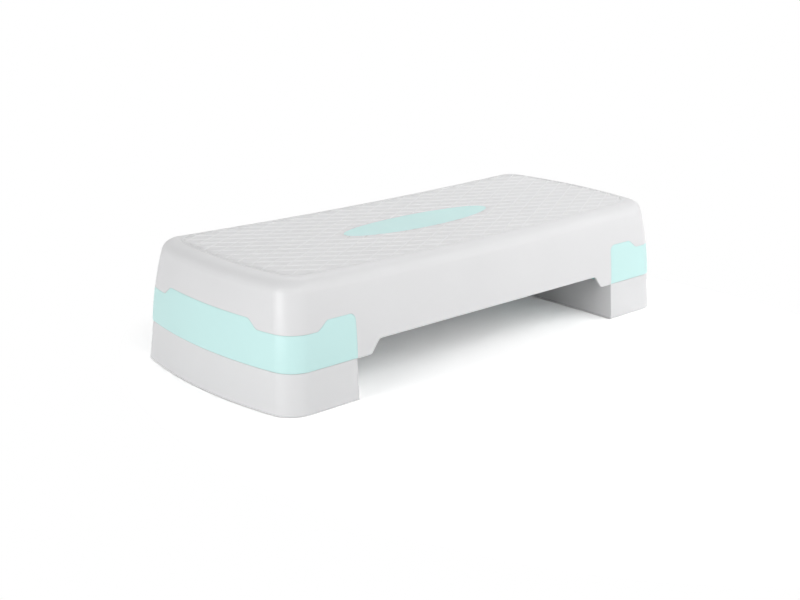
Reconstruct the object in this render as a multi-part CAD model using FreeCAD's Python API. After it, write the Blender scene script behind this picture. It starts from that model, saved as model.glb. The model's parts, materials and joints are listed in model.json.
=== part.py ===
import FreeCAD, Part
import math
import os

from FreeCAD import Vector

os.makedirs("parts", exist_ok=True)

# Driving dimensions in millimetres, with X along the step, Y across it and Z up
LENGTH = 680.0
WIDTH = 290.0
HEIGHT = 150.0
LOWER_LEVEL = 0.3267 * HEIGHT
LEG_DEPTH = 0.1691 * LENGTH
LEG_INNER = LENGTH / 2 - LEG_DEPTH
END_BOW = 19.0
CORNER_RADIUS = 32.0
WALL = 3.0
TOP_THICKNESS = 4.0
TOP_ROUND = 18.0
DISH_DEPTH = 4.5
BEAD_HEIGHT = 0.8
EDGE_ROUND = 0.6

# Clearances shared by the fits
JOINT_GAP = 0.15
SEAT_GAP = 0.55
SLIDE_CLEARANCE = 0.5
SCREW_CLEARANCE = 0.1
INLAY_CLEARANCE = 0.15

# Side wall profile: the inset of the outline grows with the height
LOWER_LEAN = 4.4
UPPER_OVERHANG = 0.9
UPPER_LEAN = 0.0525
UPPER_CURVE = 555.0

# Castellated joint between the deck and the upper risers
TAB_LEVEL = LOWER_LEVEL + 0.2767 * HEIGHT
NOTCH_LEVEL = TAB_LEVEL + 0.07 * HEIGHT
END_NOTCH_HALF = 0.2586 * WIDTH
SIDE_NOTCH_LENGTH = 40.0
NOTCH_SLOPE = 13.5
NOTCH_ROUND = 8.0
JOINT_X = LEG_INNER

# Long skirt of the deck, with a foot beside each leg
SKIRT_LEVEL = LOWER_LEVEL + 0.1027 * HEIGHT
FOOT_LEVEL = LOWER_LEVEL - SEAT_GAP
FOOT_LENGTH = 21.0
FOOT_SLOPE = 12.5
FOOT_ROUND = 4.0
SKIRT_ROUND = 7.0

# Raised border and oval recess of the top
FIELD_INSET = 33.5
BEAD_WIDTH = 3.0
BEAD_BEVEL = 0.6
OVAL_HALF_LENGTH = 122.0
OVAL_HALF_WIDTH = 30.5
OVAL_THICKNESS = 1.5
OVAL_PEG_X = 85.0
OVAL_PEG_RADIUS = 2.5
OVAL_PEG_PROUD = 1.0

# Ribs under the mouldings
RIB = 2.4
RIB_DEPTH = 16.0
RIB_PITCH = 58.0
RIB_COUNT_X = int(LENGTH / 2 / RIB_PITCH)
RIB_COUNT_Y = int(WIDTH / 2 / RIB_PITCH)
LEG_RIB_PITCH = 54.0
LEG_RIB_DEPTH = 12.0

# Nesting lip, spigot, screws and pads of one leg
LIP_HEIGHT = 12.0
LIP_THICKNESS = 2.6
SPIGOT_HEIGHT = 10.0
SCREW_RADIUS = 2.0
SCREW_LENGTH = 15.0
SCREW_HEAD_RADIUS = 4.2
SCREW_HEAD_HEIGHT = 2.8
SCREW_POINT = 3.0
SCREW_END_ROOM = 1.0
DRIVE_ARM = 0.55 * SCREW_HEAD_RADIUS
DRIVE_SLOT = 0.12 * SCREW_HEAD_RADIUS
DRIVE_DEPTH = 0.6 * SCREW_HEAD_HEIGHT
BOSS_RADIUS = 5.5
PAD_RADIUS = 9.0
PAD_PROUD = 1.0
RISER_PAD_PROUD = 2.0
PAD_RECESS = 2.0
PAD_CUP_WALL = 2.5
PAD_INNER_INSET = 19.5
PAD_END_INSET = 40.0
PAD_SIDE_INSET = 29.0

# How far helper bodies run past what they cut, and how near an edge lies to count as at a place
CUT_ROOM = 1.0
BELOW_ROOM = 6.0
ABOVE_ROOM = 14.0
NEAR = 0.1

# Levels worked out from the driving dimensions
TOP_LEVEL = HEIGHT - BEAD_HEIGHT
LOWER_TOP = LOWER_LEVEL - SEAT_GAP
RISER_PAD_FOOT = LOWER_LEVEL - RISER_PAD_PROUD
SPIGOT_LEVEL = NOTCH_LEVEL + SPIGOT_HEIGHT
RISER_PLATE_UNDER = SPIGOT_LEVEL - WALL
RIB_LEVEL = TOP_LEVEL - DISH_DEPTH - RIB_DEPTH
OPEN_BELOW = LOWER_LEVEL - BELOW_ROOM
OPEN_ABOVE = HEIGHT + ABOVE_ROOM

# Places of the leg's fittings, in the leg on the +X side
LEG_MIDDLE = LEG_INNER + 0.46 * LEG_DEPTH
FITTING_X = (LEG_MIDDLE - 0.23 * LEG_DEPTH, LEG_MIDDLE + 0.23 * LEG_DEPTH)
SCREW_Y = 0.155 * WIDTH
PAD_X = (LEG_INNER + PAD_INNER_INSET, LENGTH / 2 - PAD_END_INSET)
PAD_Y = WIDTH / 2 - PAD_SIDE_INSET


def lower_inset(z):
    """Inset of the lower riser's outside wall from the floor outline at a height."""
    return LOWER_LEAN * (z - PAD_PROUD) / (LOWER_LEVEL - PAD_PROUD)


def upper_inset(z):
    """Inset of the deck's and upper riser's outside wall, which curves inward with the height."""
    rise = z - LOWER_LEVEL
    return LOWER_LEAN - UPPER_OVERHANG + UPPER_LEAN * rise + rise ** 2 / (2 * UPPER_CURVE)


def outline(inset, z, radius=CORNER_RADIUS):
    """Closed plan outline: straight sides, bowed ends and round corners."""
    half_width = WIDTH / 2 - inset
    bow_radius = ((WIDTH / 2) ** 2 + END_BOW ** 2) / (2 * END_BOW)
    end_x = LENGTH / 2 - inset
    bow_centre = LENGTH / 2 - bow_radius
    arc_radius = bow_radius - inset
    corner_y = half_width - radius
    corner_x = bow_centre + math.sqrt((arc_radius - radius) ** 2 - corner_y ** 2)
    reach = arc_radius / (arc_radius - radius)
    meet_x = bow_centre + (corner_x - bow_centre) * reach
    meet_y = corner_y * reach
    turn = math.atan2(corner_y, corner_x - bow_centre)
    half_turn = (turn + math.pi / 2) / 2
    knee_x = corner_x + radius * math.cos(half_turn)
    knee_y = corner_y + radius * math.sin(half_turn)
    side = Vector(corner_x, half_width, z)
    knee = Vector(knee_x, knee_y, z)
    meet = Vector(meet_x, meet_y, z)
    tip = Vector(end_x, 0, z)

    def flip(point, sx, sy):
        return Vector(point.x * sx, point.y * sy, point.z)

    def arc(a, b, c):
        return Part.Arc(a, b, c).toShape()

    edges = [
        Part.makeLine(flip(side, -1, 1), side),
        arc(side, knee, meet),
        arc(meet, tip, flip(meet, 1, -1)),
        arc(flip(meet, 1, -1), flip(knee, 1, -1), flip(side, 1, -1)),
        Part.makeLine(flip(side, 1, -1), flip(side, -1, -1)),
        arc(flip(side, -1, -1), flip(knee, -1, -1), flip(meet, -1, -1)),
        arc(flip(meet, -1, -1), flip(tip, -1, 1), flip(meet, -1, 1)),
        arc(flip(meet, -1, 1), flip(knee, -1, 1), flip(side, -1, 1)),
    ]
    return Part.Wire(edges)


def upper_body(offset):
    """Solid of the upper outside form, moved inward by an offset and too tall at both ends."""
    steps = 6
    wires = []
    for step in range(steps + 1):
        level = OPEN_BELOW + (OPEN_ABOVE - OPEN_BELOW) * step / steps
        wires.append(outline(upper_inset(level) + offset, level, CORNER_RADIUS - offset))
    return Part.makeLoft(wires, True, False)


def lower_body(offset, z_low, z_high):
    """Solid of the lower riser's outside form over the whole plan, moved inward by an offset."""
    wires = []
    for level in (z_low, z_high):
        wires.append(outline(lower_inset(level) + offset, level, CORNER_RADIUS - offset))
    return Part.makeLoft(wires, True, True)


def above_dish(drop):
    """Everything above the dished top surface lowered by a drop."""
    half_chord = LENGTH / 2 - FIELD_INSET
    dish_radius = (half_chord ** 2 + DISH_DEPTH ** 2) / (2 * DISH_DEPTH)
    low = TOP_LEVEL - DISH_DEPTH - drop
    start = Vector(0, -WIDTH, low + dish_radius)
    drum = Part.makeCylinder(dish_radius, 2 * WIDTH, start, Vector(0, 1, 0))
    slab = Part.makeBox(2 * LENGTH, 2 * WIDTH, HEIGHT, Vector(-LENGTH, -WIDTH, low - CUT_ROOM))
    return drum.common(slab)


def upright(inset, z0, z1, radius=CORNER_RADIUS):
    """Upright prism on the plan outline, moved inward by an inset."""
    return Part.Face(outline(inset, z0, radius)).extrude(Vector(0, 0, z1 - z0))


def below_dish(drop):
    """Everything below the dished surface lowered by a drop, down to the ribs."""
    slab = block(-LENGTH, LENGTH, -WIDTH, WIDTH, RIB_LEVEL, OPEN_ABOVE)
    return slab.cut(above_dish(drop))


def crowned_body(offset, drop):
    """Upper body closed by the dished top, with its top edge rounded."""
    body = upper_body(offset).cut(above_dish(drop))
    rim = []
    for edge in body.Edges:
        if edge.BoundBox.ZMin > TOP_LEVEL - DISH_DEPTH - drop - CUT_ROOM:
            rim.append(edge)
    return body.makeFillet(TOP_ROUND - offset, rim)


def block(x0, x1, y0, y1, z0, z1):
    """Plain box between two corners."""
    return Part.makeBox(x1 - x0, y1 - y0, z1 - z0, Vector(x0, y0, z0))


def post(radius, x, y, z0, z1):
    """Upright cylinder."""
    return Part.makeCylinder(radius, z1 - z0, Vector(x, y, z0))


def prism(points, direction):
    """Solid swept from a closed face of straight edges."""
    return Part.Face(Part.makePolygon(points + points[:1])).extrude(direction)


def mirrored(shape):
    """The same piece on the -X side."""
    return shape.mirror(Vector(0, 0, 0), Vector(1, 0, 0))


def fused(shapes):
    """One solid from several that overlap."""
    return shapes[0].multiFuse(shapes[1:]).removeSplitter()


def riser_space(gap):
    """Space of the upper riser's visible wall, grown by a gap, on the +X side."""
    low = OPEN_BELOW - CUT_ROOM
    tab = TAB_LEVEL + gap
    notch = NOTCH_LEVEL + gap
    far = LENGTH
    inner = JOINT_X - gap
    slope_start = END_NOTCH_HALF + gap
    slope_end = slope_start + NOTCH_SLOPE
    end_points = [
        Vector(inner, -WIDTH, low), Vector(inner, WIDTH, low), Vector(inner, WIDTH, tab),
        Vector(inner, slope_end, tab), Vector(inner, slope_start, notch),
        Vector(inner, -slope_start, notch), Vector(inner, -slope_end, tab), Vector(inner, -WIDTH, tab),
    ]
    end_space = prism(end_points, Vector(far, 0, 0))
    bends = [edge for edge in end_space.Edges if edge.BoundBox.XLength > NEAR]
    bends = [edge for edge in bends if abs(edge.BoundBox.YMax) < slope_end + NEAR]
    end_space = end_space.makeFillet(NOTCH_ROUND, bends)
    side_start = JOINT_X + SIDE_NOTCH_LENGTH + gap
    side_end = side_start + NOTCH_SLOPE
    side_points = [
        Vector(inner, -WIDTH, low), Vector(far, -WIDTH, low), Vector(far, -WIDTH, tab),
        Vector(side_end, -WIDTH, tab), Vector(side_start, -WIDTH, notch), Vector(inner, -WIDTH, notch),
    ]
    side_space = prism(side_points, Vector(0, 2 * WIDTH, 0))
    bends = []
    for edge in side_space.Edges:
        box = edge.BoundBox
        if box.YLength > NEAR and box.ZMin > low + NEAR and box.XMax < side_end + NEAR:
            bends.append(edge)
    side_space = side_space.makeFillet(NOTCH_ROUND, bends)
    return end_space.fuse(side_space)


def skirt_cut():
    """Space under the deck between its two pairs of feet, with a rounded slope at each foot."""
    foot_x = JOINT_X - JOINT_GAP - FOOT_LENGTH
    skirt_x = foot_x - FOOT_SLOPE
    low = OPEN_BELOW - CUT_ROOM
    half = [(LENGTH, low), (LENGTH, FOOT_LEVEL), (foot_x, FOOT_LEVEL), (skirt_x, SKIRT_LEVEL)]
    points = [Vector(x, -WIDTH, z) for x, z in half]
    points += [Vector(-x, -WIDTH, z) for x, z in reversed(half)]
    space = prism(points, Vector(0, 2 * WIDTH, 0))
    for level, radius in ((FOOT_LEVEL, FOOT_ROUND), (SKIRT_LEVEL, SKIRT_ROUND)):
        bends = []
        for edge in space.Edges:
            box = edge.BoundBox
            if box.YLength > NEAR and abs(box.ZMax - level) < NEAR and abs(box.XMax) < JOINT_X:
                bends.append(edge)
        space = space.makeFillet(radius, bends)
    return space


def oval_prism(grow, z0, z1):
    """Upright prism on the oval, grown by a clearance."""
    ellipse = Part.Ellipse(Vector(0, 0, z0), OVAL_HALF_LENGTH + grow, OVAL_HALF_WIDTH + grow)
    return Part.Face(Part.Wire([ellipse.toShape()])).extrude(Vector(0, 0, z1 - z0))


def screw_places():
    """Centres of one leg's screws."""
    places = []
    for x in FITTING_X:
        for y in (-SCREW_Y, SCREW_Y):
            places.append((x, y))
    return places


def pad_places():
    """Named centres of one leg's pads; the near long side is -Y."""
    places = {}
    for depth, x in zip(("inner", "outer"), PAD_X):
        for side, y in (("front", -PAD_Y), ("back", PAD_Y)):
            places[side + "_" + depth] = (x, y)
    return places


def leg_ribs(plate_under):
    """Crossing ribs that stiffen the top plate of a leg moulding from below."""
    low = plate_under - LEG_RIB_DEPTH
    high = plate_under + WALL
    ribs = [block(LEG_MIDDLE - RIB / 2, LEG_MIDDLE + RIB / 2, -WIDTH, WIDTH, low, high)]
    for step in (-1.5, -0.5, 0.5, 1.5):
        y = step * LEG_RIB_PITCH
        ribs.append(block(LEG_INNER, LENGTH, y - RIB / 2, y + RIB / 2, low, high))
    return ribs


def lower_rim(body):
    """Outside edges along the straight skirts and feet of the deck."""
    rim = []
    for edge in body.Edges:
        box = edge.BoundBox
        beside = min(abs(box.YMin), abs(box.YMax)) > WIDTH / 2 - 2 * LOWER_LEAN
        along = box.YLength < LOWER_LEAN
        under = box.ZMax < SKIRT_LEVEL + CUT_ROOM and max(abs(box.XMin), abs(box.XMax)) < JOINT_X
        if beside and along and under:
            rim.append(edge)
    return rim


def border_bead():
    """Low bevelled ring that follows the dish round the field of the top, with a root inside the deck."""
    ring_low = TOP_LEVEL - DISH_DEPTH - TOP_THICKNESS / 2
    bead = upright(FIELD_INSET, ring_low, HEIGHT + CUT_ROOM)
    bead = bead.cut(upright(FIELD_INSET + BEAD_WIDTH, ring_low - CUT_ROOM, HEIGHT + 2 * CUT_ROOM))
    bead = bead.cut(above_dish(-BEAD_HEIGHT))
    crest = TOP_LEVEL - DISH_DEPTH + BEAD_HEIGHT / 2
    bead = bead.makeChamfer(BEAD_BEVEL, [edge for edge in bead.Edges if edge.BoundBox.ZMin > crest])
    return bead.cut(below_dish(TOP_THICKNESS / 2))


def make_deck():
    """Hollow deck with its ribs, screw bosses, border bead and oval recess."""
    outer = crowned_body(0, 0)
    space = riser_space(JOINT_GAP)
    outer = outer.cut(space).cut(mirrored(space)).cut(skirt_cut())
    outer = outer.makeFillet(EDGE_ROUND, lower_rim(outer))
    inner = crowned_body(WALL, TOP_THICKNESS)
    shell = outer.cut(inner)
    middle = crowned_body(WALL / 2, TOP_THICKNESS / 2)
    ribs = []
    for step in range(-RIB_COUNT_X, RIB_COUNT_X + 1):
        x = step * RIB_PITCH
        ribs.append(block(x - RIB / 2, x + RIB / 2, -WIDTH, WIDTH, RIB_LEVEL, HEIGHT))
    for step in range(2 * RIB_COUNT_Y):
        y = (step - RIB_COUNT_Y + 0.5) * RIB_PITCH
        ribs.append(block(-LENGTH, LENGTH, y - RIB / 2, y + RIB / 2, RIB_LEVEL, HEIGHT))
    bosses = []
    for x, y in screw_places():
        bosses.append(post(BOSS_RADIUS, x, y, SPIGOT_LEVEL, HEIGHT))
        bosses.append(post(BOSS_RADIUS, -x, y, SPIGOT_LEVEL, HEIGHT))
    stiffening = ribs[0].multiFuse(ribs[1:] + bosses).common(middle)
    deck = shell.fuse(stiffening)
    for x, y in screw_places():
        pilot = post(SCREW_RADIUS + SCREW_CLEARANCE, x, y, SPIGOT_LEVEL - CUT_ROOM, SPIGOT_LEVEL + SCREW_LENGTH)
        deck = deck.cut(pilot).cut(mirrored(pilot))
    recess = oval_prism(INLAY_CLEARANCE, RIB_LEVEL, HEIGHT).common(above_dish(OVAL_THICKNESS))
    deck = deck.cut(recess)
    for x in (-OVAL_PEG_X, OVAL_PEG_X):
        deck = deck.cut(post(OVAL_PEG_RADIUS + INLAY_CLEARANCE, x, 0, RIB_LEVEL, HEIGHT))
    return deck.fuse(border_bead()).removeSplitter()


def make_oval():
    """Plain oval inlay that follows the dish, with two pegs."""
    plate = oval_prism(0, RIB_LEVEL, HEIGHT).common(above_dish(OVAL_THICKNESS)).cut(above_dish(0))
    peg_top = TOP_LEVEL - DISH_DEPTH - OVAL_THICKNESS / 2
    peg_foot = TOP_LEVEL - DISH_DEPTH - TOP_THICKNESS - OVAL_PEG_PROUD
    pegs = [post(OVAL_PEG_RADIUS, x, 0, peg_foot, peg_top) for x in (-OVAL_PEG_X, OVAL_PEG_X)]
    return fused([plate] + pegs)


def make_upper_riser():
    """Upper riser: visible wall, spigot inside the deck, top plate, ribs and pad cups."""
    beyond = block(JOINT_X, LENGTH, -WIDTH, WIDTH, LOWER_LEVEL, SPIGOT_LEVEL)
    visible = upper_body(0).common(beyond).common(riser_space(0))
    rim = [edge for edge in visible.Edges if edge.BoundBox.ZMax < LOWER_LEVEL + NEAR]
    visible = visible.makeFillet(EDGE_ROUND, rim)
    fit = WALL + JOINT_GAP
    spigot_room = block(JOINT_X, LENGTH, -WIDTH, WIDTH, TAB_LEVEL - 4 * WALL, SPIGOT_LEVEL)
    spigot = upper_body(fit).common(spigot_room)
    step_level = TAB_LEVEL - 2 * WALL
    low_room = block(JOINT_X + WALL, LENGTH, -WIDTH, WIDTH, OPEN_BELOW, step_level)
    high_room = block(JOINT_X + WALL, LENGTH, -WIDTH, WIDTH, OPEN_BELOW, RISER_PLATE_UNDER)
    shell = visible.fuse(spigot)
    shell = shell.cut(upper_body(WALL).common(low_room))
    shell = shell.cut(upper_body(fit + WALL).common(high_room))
    core = block(JOINT_X + WALL / 2, LENGTH, -WIDTH, WIDTH, LOWER_LEVEL, SPIGOT_LEVEL - WALL / 2)
    inside = upper_body(fit + WALL / 2).common(core)
    fillings = leg_ribs(RISER_PLATE_UNDER)
    for x, y in pad_places().values():
        fillings.append(post(PAD_RADIUS + PAD_CUP_WALL, x, y, LOWER_LEVEL, SPIGOT_LEVEL))
    riser = shell.fuse(fillings[0].multiFuse(fillings[1:]).common(inside))
    for x, y in pad_places().values():
        riser = riser.cut(post(PAD_RADIUS, x, y, OPEN_BELOW, LOWER_LEVEL + PAD_RECESS))
    for x, y in screw_places():
        riser = riser.cut(post(SCREW_RADIUS + SCREW_CLEARANCE, x, y, OPEN_BELOW, SPIGOT_LEVEL + CUT_ROOM))
    return riser.removeSplitter()


def make_lower_riser():
    """Lower riser: open-bottomed box with ribs and pad cups, and a nesting lip on top."""
    beyond = block(LEG_INNER, LENGTH, -WIDTH, WIDTH, PAD_PROUD, LOWER_TOP)
    outer = lower_body(0, PAD_PROUD, LOWER_LEVEL).common(beyond)
    rim = []
    for edge in outer.Edges:
        box = edge.BoundBox
        if box.ZMin > LOWER_TOP - NEAR or (box.ZLength > LOWER_TOP / 2 and box.XMax < LEG_INNER + NEAR):
            rim.append(edge)
    outer = outer.makeFillet(EDGE_ROUND, rim)
    plate_under = LOWER_TOP - WALL
    room = block(LEG_INNER + WALL, LENGTH, -WIDTH, WIDTH, -PAD_PROUD, plate_under)
    shell = outer.cut(lower_body(WALL, -PAD_PROUD, LOWER_LEVEL).common(room))
    core = block(LEG_INNER + WALL / 2, LENGTH, -WIDTH, WIDTH, PAD_PROUD, LOWER_TOP - WALL / 2)
    inside = lower_body(WALL / 2, PAD_PROUD, LOWER_LEVEL).common(core)
    fillings = leg_ribs(plate_under)
    for x, y in pad_places().values():
        fillings.append(post(PAD_RADIUS + PAD_CUP_WALL, x, y, PAD_PROUD, LOWER_TOP))
    riser = shell.fuse(fillings[0].multiFuse(fillings[1:]).common(inside))
    for x, y in pad_places().values():
        riser = riser.cut(post(PAD_RADIUS, x, y, -PAD_PROUD, PAD_PROUD + PAD_RECESS))
        riser = riser.cut(post(PAD_RADIUS + SLIDE_CLEARANCE, x, y, RISER_PAD_FOOT, LOWER_LEVEL))
    return riser.fuse(nesting_lip()).removeSplitter()


def nesting_lip():
    """Upright lip along the end and sides of the lower riser, just inside the upper riser's wall."""
    lip_top = LOWER_LEVEL + LIP_HEIGHT
    lip_foot = LOWER_TOP - WALL / 2
    face = WALL + SLIDE_CLEARANCE
    inset = upper_inset(lip_top) + face
    outer = upright(inset, lip_foot, lip_top, CORNER_RADIUS - face)
    outer = outer.common(block(JOINT_X + face, LENGTH, -WIDTH, WIDTH, lip_foot, lip_top))
    back = face + LIP_THICKNESS
    room = upright(inset + LIP_THICKNESS, OPEN_BELOW - LIP_HEIGHT, HEIGHT, CORNER_RADIUS - back)
    return outer.cut(room)


def make_pad(x, y, foot, cup):
    """Rubber pad between its foot and the bottom of its cup, with a rounded lower edge."""
    pad = post(PAD_RADIUS, x, y, foot, cup)
    rim = [edge for edge in pad.Edges if edge.BoundBox.ZMax < foot + NEAR]
    return pad.makeFillet(PAD_PROUD / 2, rim)


def make_screws():
    """The four screws of one leg, as separate solids."""
    screws = []
    for x, y in screw_places():
        head_foot = RISER_PLATE_UNDER - SCREW_HEAD_HEIGHT
        head = post(SCREW_HEAD_RADIUS, x, y, head_foot, RISER_PLATE_UNDER)
        rim = [edge for edge in head.Edges if edge.BoundBox.ZMax < head_foot + NEAR]
        head = head.makeFillet(SCREW_HEAD_HEIGHT / 3, rim)
        neck = SPIGOT_LEVEL + SCREW_LENGTH - SCREW_END_ROOM - SCREW_POINT
        shank = post(SCREW_RADIUS, x, y, RISER_PLATE_UNDER - CUT_ROOM, neck)
        cone = Part.makeCone(SCREW_RADIUS, SCREW_RADIUS / 4, SCREW_POINT, Vector(x, y, neck))
        screw = fused([head, shank, cone])
        for half_x, half_y in ((DRIVE_ARM, DRIVE_SLOT), (DRIVE_SLOT, DRIVE_ARM)):
            low, high = head_foot - CUT_ROOM, head_foot + DRIVE_DEPTH
            screw = screw.cut(block(x - half_x, x + half_x, y - half_y, y + half_y, low, high))
        screws.append(screw)
    return Part.makeCompound(screws)


def export(shape, name):
    """One file for one node."""
    shape.exportStep("parts/" + name + ".step")


export(make_deck(), "deck")
export(make_oval(), "oval_inlay")

for name, make in (
    ("upper_riser", make_upper_riser),
    ("lower_riser", make_lower_riser),
    ("riser_screws", make_screws),
):
    piece = make()
    export(piece, name + "_right")
    export(mirrored(piece), name + "_left")

for place, (pad_x, pad_y) in pad_places().items():
    lower_pad = make_pad(pad_x, pad_y, 0, PAD_PROUD + PAD_RECESS)
    upper_pad = make_pad(pad_x, pad_y, RISER_PAD_FOOT, LOWER_LEVEL + PAD_RECESS)
    export(lower_pad, "floor_pad_right_" + place)
    export(mirrored(lower_pad), "floor_pad_left_" + place)
    export(upper_pad, "riser_pad_right_" + place)
    export(mirrored(upper_pad), "riser_pad_left_" + place)
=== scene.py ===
import json
import math

import bmesh
import bpy
from mathutils import Matrix, Vector

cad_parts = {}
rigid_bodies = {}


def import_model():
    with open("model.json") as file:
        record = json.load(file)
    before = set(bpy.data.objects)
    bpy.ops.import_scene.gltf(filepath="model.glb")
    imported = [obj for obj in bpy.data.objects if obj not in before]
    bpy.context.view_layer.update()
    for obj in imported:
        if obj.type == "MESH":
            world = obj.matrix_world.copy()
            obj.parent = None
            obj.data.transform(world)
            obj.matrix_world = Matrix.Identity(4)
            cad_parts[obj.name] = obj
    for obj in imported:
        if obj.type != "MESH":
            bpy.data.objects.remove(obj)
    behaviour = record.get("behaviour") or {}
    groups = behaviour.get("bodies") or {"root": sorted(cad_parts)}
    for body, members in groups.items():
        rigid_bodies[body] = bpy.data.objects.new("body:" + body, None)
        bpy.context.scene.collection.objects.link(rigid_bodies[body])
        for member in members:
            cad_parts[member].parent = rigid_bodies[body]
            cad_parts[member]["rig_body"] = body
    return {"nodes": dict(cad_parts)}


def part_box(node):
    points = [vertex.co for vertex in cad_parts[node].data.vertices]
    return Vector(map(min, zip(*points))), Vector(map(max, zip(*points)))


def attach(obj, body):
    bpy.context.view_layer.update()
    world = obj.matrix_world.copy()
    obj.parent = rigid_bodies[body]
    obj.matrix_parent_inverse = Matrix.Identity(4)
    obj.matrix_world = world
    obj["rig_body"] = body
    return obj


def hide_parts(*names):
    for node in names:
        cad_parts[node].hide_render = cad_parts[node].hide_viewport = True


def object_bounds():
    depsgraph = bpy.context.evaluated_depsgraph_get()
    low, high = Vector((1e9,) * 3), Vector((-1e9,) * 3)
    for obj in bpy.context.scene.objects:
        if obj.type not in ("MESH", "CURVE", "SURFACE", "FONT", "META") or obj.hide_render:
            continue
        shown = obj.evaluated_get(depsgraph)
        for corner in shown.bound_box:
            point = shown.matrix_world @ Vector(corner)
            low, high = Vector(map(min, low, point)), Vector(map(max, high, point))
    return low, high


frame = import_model()
cad_low, cad_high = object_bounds()
cad_nodes = frame["nodes"]
MM = 0.001

# Shape of the top, in metres, as the solids have it
LENGTH = round(cad_high.x - cad_low.x, 3)
WIDTH = round(cad_high.y - cad_low.y, 3)
END_BOW = 19 * MM
CORNER_RADIUS = 32 * MM
FIELD_INSET = 33.5 * MM
BEAD_HEIGHT = 0.8 * MM
BEAD_WIDTH = 3 * MM
DISH_DEPTH = 4.5 * MM
DISH_HALF_CHORD = LENGTH / 2 - FIELD_INSET
DISH_RADIUS = (DISH_HALF_CHORD ** 2 + DISH_DEPTH ** 2) / (2 * DISH_DEPTH)
DISH_LEVEL = cad_high.z - BEAD_HEIGHT - DISH_DEPTH

# Rhombic tread of crossing ribs, with phases as shares of the pitch
RIB_PITCH = 18.75 * MM
RIB_ANGLE = math.radians(30)
MAIN_RIBS = {"phase": 0.645, "half_width": 2.25 * MM, "height": 0.76 * MM}
CROSS_RIBS = {"phase": 0.068, "half_width": 1.2 * MM, "height": 0.52 * MM}
RIB_ROOT = 0.6 * MM
RIB_STEPS = 6
RIB_CREST_POWER = 1.3
POINTS_PER_RIB = RIB_STEPS + 3
TREAD_INSET = FIELD_INSET + 0.8 * BEAD_WIDTH
OVAL_MARGIN = 1.5 * MM
OVAL_STEPS = 96
ARC_STEPS = 10

# Rubber pads, with groove places and widths as shares of the radius
PAD_STEPS = 40
PAD_RIM = 0.5 * MM
PAD_RIM_CUT = 0.15 * MM
GROOVE_DEPTH = 0.35 * MM
GROOVE_PLACES = (0.78, 0.52)
GROOVE_FACE_HALF = 0.07
GROOVE_FLOOR_HALF = 0.04
HOLLOW_FACE = 0.28
HOLLOW_FLOOR = 0.2
PAD_SHARP_ANGLE = math.radians(50)


def srgb(red, green, blue):
    """Linear colour from display values of 0 to 255."""
    linear = []
    for value in (red, green, blue):
        share = value / 255
        linear.append(share / 12.92 if share <= 0.04045 else ((share + 0.055) / 1.055) ** 2.4)
    return (*linear, 1.0)


def plain(level):
    """Grey of one linear level."""
    return (level, level, level, 1.0)


def scaled(colour, factor):
    """A colour made lighter or darker."""
    return (*[min(1.0, part * factor) for part in colour[:3]], 1.0)


# Materials

# Range that holds most of a noise's values, and cosines at which a softened edge starts and is full
MOST_NOISE = (0.3, 0.7)
EDGE_COSINES = (0.99, 0.86)


class Shader:
    """Short calls for building one material's node tree."""

    def __init__(self, name):
        self.material = bpy.data.materials.new(name)
        self.material.use_nodes = True
        self.tree = self.material.node_tree
        self.surface = self.tree.nodes["Principled BSDF"]
        self.place = self.node("ShaderNodeTexCoord").outputs["Object"]

    def node(self, kind, **settings):
        made = self.tree.nodes.new(kind)
        for key, value in settings.items():
            setattr(made, key, value)
        return made

    def link(self, source, target):
        self.tree.links.new(source, target)

    def noise(self, lumps, detail=2.0, roughness=0.5, stretch=(1, 1, 1)):
        """Grey noise with a number of lumps per metre."""
        mapping = self.node("ShaderNodeMapping")
        mapping.inputs["Scale"].default_value = stretch
        self.link(self.place, mapping.inputs["Vector"])
        texture = self.node("ShaderNodeTexNoise")
        texture.inputs["Scale"].default_value = lumps
        texture.inputs["Detail"].default_value = detail
        texture.inputs["Roughness"].default_value = roughness
        self.link(mapping.outputs["Vector"], texture.inputs["Vector"])
        return texture.outputs["Fac"]

    def spread(self, value, source, target):
        """Value moved from one range to another."""
        ranger = self.node("ShaderNodeMapRange")
        ranger.inputs["From Min"].default_value = source[0]
        ranger.inputs["From Max"].default_value = source[1]
        ranger.inputs["To Min"].default_value = target[0]
        ranger.inputs["To Max"].default_value = target[1]
        self.link(value, ranger.inputs["Value"])
        return ranger.outputs["Result"]

    def between(self, factor, first, second):
        """Colour between two, each a colour or a socket."""
        mixer = self.node("ShaderNodeMix", data_type="RGBA")
        self.link(factor, mixer.inputs["Factor"])
        first_socket, second_socket = mixer.inputs[6], mixer.inputs[7]
        for socket, colour in ((first_socket, first), (second_socket, second)):
            if isinstance(colour, tuple):
                socket.default_value = colour
            else:
                self.link(colour, socket)
        return mixer.outputs[2]

    def bump(self, height, distance, strength, under=None):
        """Bumped normal from a height, on top of another normal."""
        bumper = self.node("ShaderNodeBump")
        bumper.inputs["Strength"].default_value = strength
        bumper.inputs["Distance"].default_value = distance
        self.link(height, bumper.inputs["Height"])
        if under is not None:
            self.link(under, bumper.inputs["Normal"])
        return bumper.outputs["Normal"]

    def edges(self, radius):
        """Softened normal near sharp edges, and a mask that is 1 on them."""
        bevel = self.node("ShaderNodeBevel", samples=4)
        bevel.inputs["Radius"].default_value = radius
        flat = self.node("ShaderNodeNewGeometry").outputs["Normal"]
        dot = self.node("ShaderNodeVectorMath", operation="DOT_PRODUCT")
        self.link(bevel.outputs["Normal"], dot.inputs[0])
        self.link(flat, dot.inputs[1])
        return bevel.outputs["Normal"], self.spread(dot.outputs["Value"], EDGE_COSINES, (0.0, 1.0))


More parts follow.
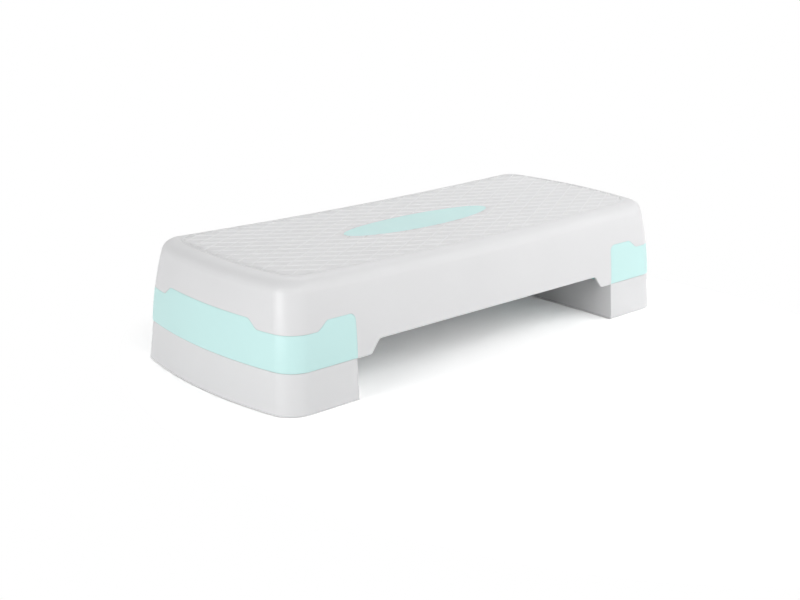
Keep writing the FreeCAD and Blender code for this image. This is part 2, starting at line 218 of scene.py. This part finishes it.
def moulded_plastic(name, colour, roughness):
    """Satin moulded plastic: fine spark grain, slow flow marks, and a painted highlight that lightens its
    edges.
    """
    darker = scaled(colour, 0.985)
    lighter = scaled(colour, 1.012)
    edge_highlight_colour = scaled(colour, 1.06)
    gloss_range = (roughness - 0.05, roughness + 0.05)
    shader = Shader(name)
    rounded, edge = shader.edges(radius=0.7 * MM)
    clouds = shader.noise(lumps=9, detail=3)
    base = shader.between(shader.spread(clouds, MOST_NOISE, (0, 1)), darker, lighter)
    # Painted highlight: sharp edges are lightened towards a brighter copy of the colour, by up to 35%.
    edge_highlighted = shader.between(shader.spread(edge, (0, 1), (0, 0.35)), base, edge_highlight_colour)
    shader.link(edge_highlighted, shader.surface.inputs["Base Color"])
    patches = shader.noise(lumps=34, detail=4, roughness=0.6)
    shader.link(shader.spread(patches, MOST_NOISE, gloss_range), shader.surface.inputs["Roughness"])
    waves = shader.noise(lumps=45, detail=1)
    flow = shader.bump(waves, distance=0.15 * MM, strength=0.12, under=rounded)
    sparks = shader.noise(lumps=1500, detail=2, roughness=0.6)
    grain = shader.bump(sparks, distance=0.05 * MM, strength=0.22, under=flow)
    shader.link(grain, shader.surface.inputs["Normal"])
    shader.surface.inputs["IOR"].default_value = 1.5
    return shader.material


def pad_rubber(name):
    """Matt dark rubber with fine dusty grain."""
    colour = srgb(52, 54, 57)
    dusty = scaled(colour, 1.9)
    shader = Shader(name)
    dust = shader.noise(lumps=260, detail=5, roughness=0.65)
    base = shader.between(shader.spread(dust, (0.42, 0.72), (0, 1)), colour, dusty)
    shader.link(base, shader.surface.inputs["Base Color"])
    shader.link(shader.spread(dust, MOST_NOISE, (0.66, 0.86)), shader.surface.inputs["Roughness"])
    specks = shader.noise(lumps=2200, detail=3, roughness=0.6)
    grain = shader.bump(specks, distance=0.08 * MM, strength=0.4)
    shader.link(grain, shader.surface.inputs["Normal"])
    return shader.material


def screw_steel(name):
    """Zinc plated steel, turned and a little uneven."""
    colour = srgb(196, 198, 200)
    stained = scaled(colour, 0.72)
    shader = Shader(name)
    stain = shader.noise(lumps=420, detail=4)
    base = shader.between(shader.spread(stain, (0.35, 0.7), (0, 1)), colour, stained)
    shader.link(base, shader.surface.inputs["Base Color"])
    shader.surface.inputs["Metallic"].default_value = 1.0
    shader.link(shader.spread(stain, MOST_NOISE, (0.28, 0.46)), shader.surface.inputs["Roughness"])
    rings = shader.noise(lumps=900, stretch=(1, 1, 6))
    turned = shader.bump(rings, distance=0.03 * MM, strength=0.25)
    shader.link(turned, shader.surface.inputs["Normal"])
    return shader.material


PLASTIC_ROUGHNESS = 0.44
GREY = moulded_plastic("grey_plastic", srgb(223, 223, 224), PLASTIC_ROUGHNESS)
# Lighter copy of the same grey plastic for the tread ribs: a painted highlight on the ribs.
HIGHLIT_RIB_GREY = moulded_plastic("rib_grey_plastic_painted_highlight", srgb(230, 230, 231), PLASTIC_ROUGHNESS)
MINT = moulded_plastic("mint_plastic", srgb(202, 237, 235), PLASTIC_ROUGHNESS)
RUBBER = pad_rubber("pad_rubber")
STEEL = screw_steel("screw_steel")

FINISHES = {
    "deck": GREY,
    "lower_riser": GREY,
    "upper_riser": MINT,
    "oval_inlay": MINT,
    "riser_screws": STEEL,
    "riser_pad": RUBBER,
    "floor_pad": RUBBER,
}

for node_name, node_object in cad_nodes.items():
    for start, finish in FINISHES.items():
        if node_name.startswith(start):
            node_object.data.materials.clear()
            node_object.data.materials.append(finish)


# Outlines and pieces

def new_piece(name, mesh_builder, material, body):
    """A piece from a filled bmesh, riding on a body."""
    mesh = bpy.data.meshes.new(name)
    mesh_builder.to_mesh(mesh)
    mesh_builder.free()
    piece = bpy.data.objects.new(name, mesh)
    bpy.context.scene.collection.objects.link(piece)
    mesh.materials.append(material)
    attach(piece, body)
    return piece


def plan_outline(inset, radius):
    """Points of the plan outline at an inset: straight sides, bowed ends and round corners."""
    bow_radius = ((WIDTH / 2) ** 2 + END_BOW ** 2) / (2 * END_BOW)
    bow_centre = LENGTH / 2 - bow_radius
    arc_radius = bow_radius - inset
    corner_y = WIDTH / 2 - inset - radius
    corner_x = bow_centre + math.sqrt((arc_radius - radius) ** 2 - corner_y ** 2)
    turn = math.atan2(corner_y, corner_x - bow_centre)
    quarter = []
    for step in range(ARC_STEPS + 1):
        angle = turn * step / ARC_STEPS
        quarter.append((bow_centre + arc_radius * math.cos(angle), arc_radius * math.sin(angle)))
    for step in range(1, ARC_STEPS + 1):
        angle = turn + (math.pi / 2 - turn) * step / ARC_STEPS
        quarter.append((corner_x + radius * math.cos(angle), corner_y + radius * math.sin(angle)))
    half = [(x, -y) for x, y in reversed(quarter[1:])] + quarter
    return half + [(-x, -y) for x, y in half]


def oval_outline(half_length, half_width, steps):
    """Points round an oval about the origin."""
    points = []
    for step in range(steps):
        angle = 2 * math.pi * step / steps
        points.append((half_length * math.cos(angle), half_width * math.sin(angle)))
    return points


# Raised rhombic tread

def dish_height(x):
    """Height of the dished top at a place along the step."""
    return DISH_LEVEL + DISH_RADIUS - math.sqrt(DISH_RADIUS ** 2 - x ** 2)


def rib_section(half_width, height):
    """Offsets and heights across one rib, from its root below the surface to its crest."""
    section = [(-half_width - RIB_ROOT / 2, -RIB_ROOT / 2)]
    for step in range(RIB_STEPS + 1):
        across = 2 * step / RIB_STEPS - 1
        section.append((across * half_width, height * math.cos(across * math.pi / 2) ** RIB_CREST_POWER))
    section.append((half_width + RIB_ROOT / 2, -RIB_ROOT / 2))
    return section


def rib_lines(phase, half_width, height):
    """Samples across one family of ribs: distance from the middle and height, all ribs in order."""
    reach = LENGTH / 2 * math.sin(RIB_ANGLE) + WIDTH / 2 * math.cos(RIB_ANGLE)
    count = int(reach / RIB_PITCH) + 1
    samples = []
    for rib in range(-count, count + 1):
        for offset, rise in rib_section(half_width, height):
            samples.append(((rib + phase) * RIB_PITCH + offset, rise))
    return samples


def crossing(main_distance, cross_distance):
    """Place in plan where a line along the main ribs meets one along the cross ribs."""
    x = (main_distance + cross_distance) / (2 * math.sin(RIB_ANGLE))
    y = (main_distance - cross_distance) / (2 * math.cos(RIB_ANGLE))
    return x, y


def tread_mesh():
    """Net of the two rib families as a closed mesh, wider than the field it is trimmed to."""
    builder = bmesh.new()
    main = rib_lines(**MAIN_RIBS)
    cross = rib_lines(**CROSS_RIBS)
    reach_x = LENGTH / 2 - FIELD_INSET + RIB_PITCH / 2
    reach_y = WIDTH / 2 - FIELD_INSET + RIB_PITCH / 2
    corners = {}

    def corner(i, j):
        if (i, j) not in corners:
            main_distance, main_height = main[i]
            cross_distance, cross_height = cross[j]
            x, y = crossing(main_distance, cross_distance)
            height = max(main_height, cross_height)
            corners[i, j] = builder.verts.new((x, y, dish_height(x) + height))
        return corners[i, j]

    def inside(i, j):
        x, y = crossing(main[i][0], cross[j][0])
        return abs(x) < reach_x and abs(y) < reach_y

    for i in range(len(main) - 1):
        for j in range(len(cross) - 1):
            between_main = i % POINTS_PER_RIB == POINTS_PER_RIB - 1
            between_cross = j % POINTS_PER_RIB == POINTS_PER_RIB - 1
            if between_main and between_cross:
                continue
            if inside(i, j) or inside(i + 1, j + 1):
                ring = (corner(i, j), corner(i + 1, j), corner(i + 1, j + 1), corner(i, j + 1))
                builder.faces.new(ring)
    grown = bmesh.ops.extrude_face_region(builder, geom=builder.faces[:])
    for item in grown["geom"]:
        if isinstance(item, bmesh.types.BMVert):
            item.co.z = dish_height(item.co.x) - RIB_ROOT
    bmesh.ops.recalc_face_normals(builder, faces=builder.faces[:])
    return builder


def upright_prism(name, outline, low, high):
    """Closed upright prism used to trim other pieces."""
    builder = bmesh.new()
    ring = [builder.verts.new((x, y, low)) for x, y in outline]
    base = builder.faces.new(ring)
    grown = bmesh.ops.extrude_face_region(builder, geom=[base])
    for item in grown["geom"]:
        if isinstance(item, bmesh.types.BMVert):
            item.co.z = high
    bmesh.ops.recalc_face_normals(builder, faces=builder.faces[:])
    mesh = bpy.data.meshes.new(name)
    builder.to_mesh(mesh)
    builder.free()
    cutter = bpy.data.objects.new(name, mesh)
    bpy.context.scene.collection.objects.link(cutter)
    return cutter


def trim(piece, cutter, operation):
    """Cuts a piece with a closed solid for good, and removes the solid."""
    modifier = piece.modifiers.new("trim", "BOOLEAN")
    modifier.operation = operation
    modifier.solver = "EXACT"
    modifier.object = cutter
    graph = bpy.context.evaluated_depsgraph_get()
    cut = bpy.data.meshes.new_from_object(piece.evaluated_get(graph))
    piece.modifiers.remove(modifier)
    piece.data = cut
    bpy.data.objects.remove(cutter)


def drop_folded_faces(piece):
    """Deletes pairs of faces that lie back to back on the same points, which a trim can leave."""
    builder = bmesh.new()
    builder.from_mesh(piece.data)
    bmesh.ops.triangulate(builder, faces=builder.faces[:])
    by_points = {}
    for face in builder.faces:
        by_points.setdefault(frozenset(face.verts), []).append(face)
    folded = [face for faces in by_points.values() if len(faces) > 1 for face in faces]
    bmesh.ops.delete(builder, geom=folded, context="FACES")
    builder.to_mesh(piece.data)
    builder.free()


def make_tread():
    """Ribs of the top, trimmed to the border bead and to the oval."""
    # The ribs take the lighter copy of the grey, a painted highlight.
    tread = new_piece("tread_ribs", tread_mesh(), HIGHLIT_RIB_GREY, "platform")
    low = DISH_LEVEL - DISH_DEPTH
    high = cad_high.z + DISH_DEPTH
    field = upright_prism("field", plan_outline(TREAD_INSET, CORNER_RADIUS), low, high)
    trim(tread, field, "INTERSECT")
    _, oval_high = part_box("oval_inlay")
    round_oval = oval_outline(oval_high.x + OVAL_MARGIN, oval_high.y + OVAL_MARGIN, OVAL_STEPS)
    trim(tread, upright_prism("oval", round_oval, low, high), "DIFFERENCE")
    drop_folded_faces(tread)
    tread.data.shade_smooth()


make_tread()


# Rubber pads with grip rings

def pad_section(radius, low, high):
    """Radius and height of a pad's points, from the middle of its back to the middle of its face."""
    groove = low + GROOVE_DEPTH
    section = [
        (0.0, high),
        (radius, high),
        (radius, low + PAD_RIM),
        (radius - PAD_RIM_CUT, low + PAD_RIM_CUT),
        (radius - PAD_RIM, low),
    ]
    for place in GROOVE_PLACES:
        section += [
            (radius * (place + GROOVE_FACE_HALF), low),
            (radius * (place + GROOVE_FLOOR_HALF), groove),
            (radius * (place - GROOVE_FLOOR_HALF), groove),
            (radius * (place - GROOVE_FACE_HALF), low),
        ]
    section += [
        (radius * HOLLOW_FACE, low),
        (radius * HOLLOW_FLOOR, groove),
        (0.0, groove),
    ]
    return section


def turned_mesh(section, middle):
    """Closed mesh of a section that is turned round an upright axis."""
    builder = bmesh.new()
    rings = []
    for radius, height in section:
        if radius == 0:
            rings.append([builder.verts.new((middle.x, middle.y, height))])
            continue
        circle = oval_outline(radius, radius, PAD_STEPS)
        rings.append([builder.verts.new((middle.x + x, middle.y + y, height)) for x, y in circle])
    for above, below in zip(rings, rings[1:]):
        for step in range(PAD_STEPS):
            following = (step + 1) % PAD_STEPS
            if len(above) == 1:
                builder.faces.new((above[0], below[step], below[following]))
            elif len(below) == 1:
                builder.faces.new((above[step], below[0], above[following]))
            else:
                builder.faces.new((above[step], below[step], below[following], above[following]))
    bmesh.ops.recalc_face_normals(builder, faces=builder.faces[:])
    return builder


def make_pad(node_name):
    """Pad with a rounded rim, two grip grooves and a shallow middle, in place of its plain solid."""
    low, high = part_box(node_name)
    radius = (high.x - low.x) / 2
    builder = turned_mesh(pad_section(radius, low.z, high.z), (low + high) / 2)
    body = cad_nodes[node_name]["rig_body"]
    pad = new_piece(node_name + "_rubber", builder, RUBBER, body)
    pad.data.shade_smooth()
    pad.data.set_sharp_from_angle(angle=PAD_SHARP_ANGLE)
    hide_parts(node_name)


for node_name in sorted(cad_nodes):
    if "_pad_" in node_name:
        make_pad(node_name)


# Camera of the photograph

CAMERA_AZIMUTH = math.radians(-43.218)
CAMERA_ELEVATION = math.radians(17.187)
CAMERA_ROLL = math.radians(0.866)
CAMERA_DISTANCE = 1.64601
CAMERA_TARGET = Vector((-0.06429, -0.03736, 0.060))
IMAGE_WIDTH = 800
FOCAL_PIXELS = 1320.56
SENSOR_WIDTH = 36.0


def direction(azimuth, elevation):
    """Unit vector from the step, with the azimuth from the front towards the right end, in radians."""
    level = math.cos(elevation)
    return Vector((math.sin(azimuth) * level, -math.cos(azimuth) * level, math.sin(elevation)))


def make_camera():
    """Camera at the photograph's angle."""
    back = direction(CAMERA_AZIMUTH, CAMERA_ELEVATION)
    right = (-back).cross(Vector((0, 0, 1))).normalized()
    up = right.cross(-back)
    turned_right = right * math.cos(CAMERA_ROLL) + up * math.sin(CAMERA_ROLL)
    turned_up = up * math.cos(CAMERA_ROLL) - right * math.sin(CAMERA_ROLL)
    place = CAMERA_TARGET + back * CAMERA_DISTANCE
    data = bpy.data.cameras.new("camera")
    data.sensor_fit = "HORIZONTAL"
    data.sensor_width = SENSOR_WIDTH
    data.lens = FOCAL_PIXELS / IMAGE_WIDTH * SENSOR_WIDTH
    camera = bpy.data.objects.new("camera", data)
    bpy.context.scene.collection.objects.link(camera)
    axes = Matrix((turned_right, turned_up, back)).transposed().to_4x4()
    camera.matrix_world = Matrix.Translation(place) @ axes
    bpy.context.scene.camera = camera


make_camera()


# Studio

# Floor: its level for bounced light and as it is seen, and where it turns to plain white
FLOOR_SIZE = 40.0
FLOOR_COLOUR = 0.9
FLOOR_SEEN_COLOUR = 1.72
FADE_SHAPE = (1.3, 1.0, 1.0)
FADE_SHIFT = (0.0, 0.2, 0.0)
FADE_RANGE = (0.50, 0.58)

# Softboxes: azimuth from the front towards the right end and elevation in degrees, metres and watts
LAMPS = {
    "front_lamp": {"azimuth": 0, "elevation": 35, "distance": 3.0, "size": (2.0, 2.0), "power": 21.5},
    "right_lamp": {"azimuth": 40, "elevation": 27, "distance": 1.8, "size": (1.5, 1.5), "power": 15.6},
    "right_high_lamp": {"azimuth": 68, "elevation": 43, "distance": 3.0, "size": (1.2, 1.2), "power": 7.8},
    "back_right_lamp": {"azimuth": 130, "elevation": 50, "distance": 3.0, "size": (2.0, 2.0), "power": 23.5},
    "back_lamp": {"azimuth": 170, "elevation": 50, "distance": 3.0, "size": (2.0, 2.0), "power": 17.0},
    "left_lamp": {"azimuth": -85, "elevation": 10, "distance": 3.0, "size": (1.2, 0.9), "power": 47.5},
    "corner_lamp": {"azimuth": -22, "elevation": 25, "distance": 3.0, "size": (1.2, 1.2), "power": 8.5},
}


def make_lamp(name, azimuth, elevation, distance, size, power):
    """Softbox of a width and height that faces the middle of the step."""
    data = bpy.data.lights.new(name, "AREA")
    data.shape = "RECTANGLE"
    data.size, data.size_y = size
    data.energy = power
    lamp = bpy.data.objects.new(name, data)
    bpy.context.scene.collection.objects.link(lamp)
    aim = direction(math.radians(azimuth), math.radians(elevation))
    lamp.location = (cad_low + cad_high) / 2 + aim * distance
    lamp.rotation_mode = "QUATERNION"
    lamp.rotation_quaternion = aim.to_track_quat("Z", "Y")


def seen_directly(tree):
    """Socket that is 1 for rays from the camera, mirrors and glass, and 0 for the light that bounces."""
    path = tree.nodes.new("ShaderNodeLightPath")
    total = path.outputs["Is Camera Ray"]
    for name in ("Is Glossy Ray", "Is Transmission Ray"):
        larger = tree.nodes.new("ShaderNodeMath")
        larger.operation = "MAXIMUM"
        tree.links.new(total, larger.inputs[0])
        tree.links.new(path.outputs[name], larger.inputs[1])
        total = larger.outputs["Value"]
    return total


def make_world():
    """Backdrop that is seen as plain white and gives no light."""
    world = bpy.data.worlds.new("studio")
    bpy.context.scene.world = world
    world.use_nodes = True
    tree = world.node_tree
    background = tree.nodes["Background"]
    background.inputs["Color"].default_value = plain(1)
    tree.links.new(seen_directly(tree), background.inputs["Strength"])


def floor_material():
    """White that keeps the shadow by the step and turns to plain white away from it."""
    shader = Shader("floor_white")
    shader.tree.nodes.remove(shader.surface)
    seen = seen_directly(shader.tree)
    matt = shader.node("ShaderNodeBsdfDiffuse")
    level = shader.between(seen, plain(FLOOR_COLOUR), plain(FLOOR_SEEN_COLOUR))
    shader.link(level, matt.inputs["Color"])
    stretched = shader.node("ShaderNodeMapping")
    stretched.inputs["Scale"].default_value = FADE_SHAPE
    stretched.inputs["Location"].default_value = FADE_SHIFT
    shader.link(shader.place, stretched.inputs["Vector"])
    distance = shader.node("ShaderNodeVectorMath", operation="LENGTH")
    shader.link(stretched.outputs["Vector"], distance.inputs[0])
    fade = shader.spread(distance.outputs["Value"], FADE_RANGE, (0.0, 1.0))
    share = shader.node("ShaderNodeMath", operation="MULTIPLY")
    shader.link(seen, share.inputs[0])
    shader.link(fade, share.inputs[1])
    white = shader.node("ShaderNodeEmission")
    blend = shader.node("ShaderNodeMixShader")
    shader.link(share.outputs["Value"], blend.inputs["Fac"])
    shader.link(matt.outputs["BSDF"], blend.inputs[1])
    shader.link(white.outputs["Emission"], blend.inputs[2])
    shader.link(blend.outputs["Shader"], shader.tree.nodes["Material Output"].inputs["Surface"])
    return shader.material


def make_floor():
    """Wide flat floor under the step."""
    mesh = bpy.data.meshes.new("floor")
    reach = FLOOR_SIZE / 2
    corners = [(-reach, -reach, 0), (reach, -reach, 0), (reach, reach, 0), (-reach, reach, 0)]
    mesh.from_pydata(corners, [], [(0, 1, 2, 3)])
    floor = bpy.data.objects.new("floor", mesh)
    bpy.context.scene.collection.objects.link(floor)
    mesh.materials.append(floor_material())


make_world()
make_floor()
for lamp_name, lamp in LAMPS.items():
    make_lamp(lamp_name, **lamp)
bpy.context.scene.view_settings.view_transform = "Standard"
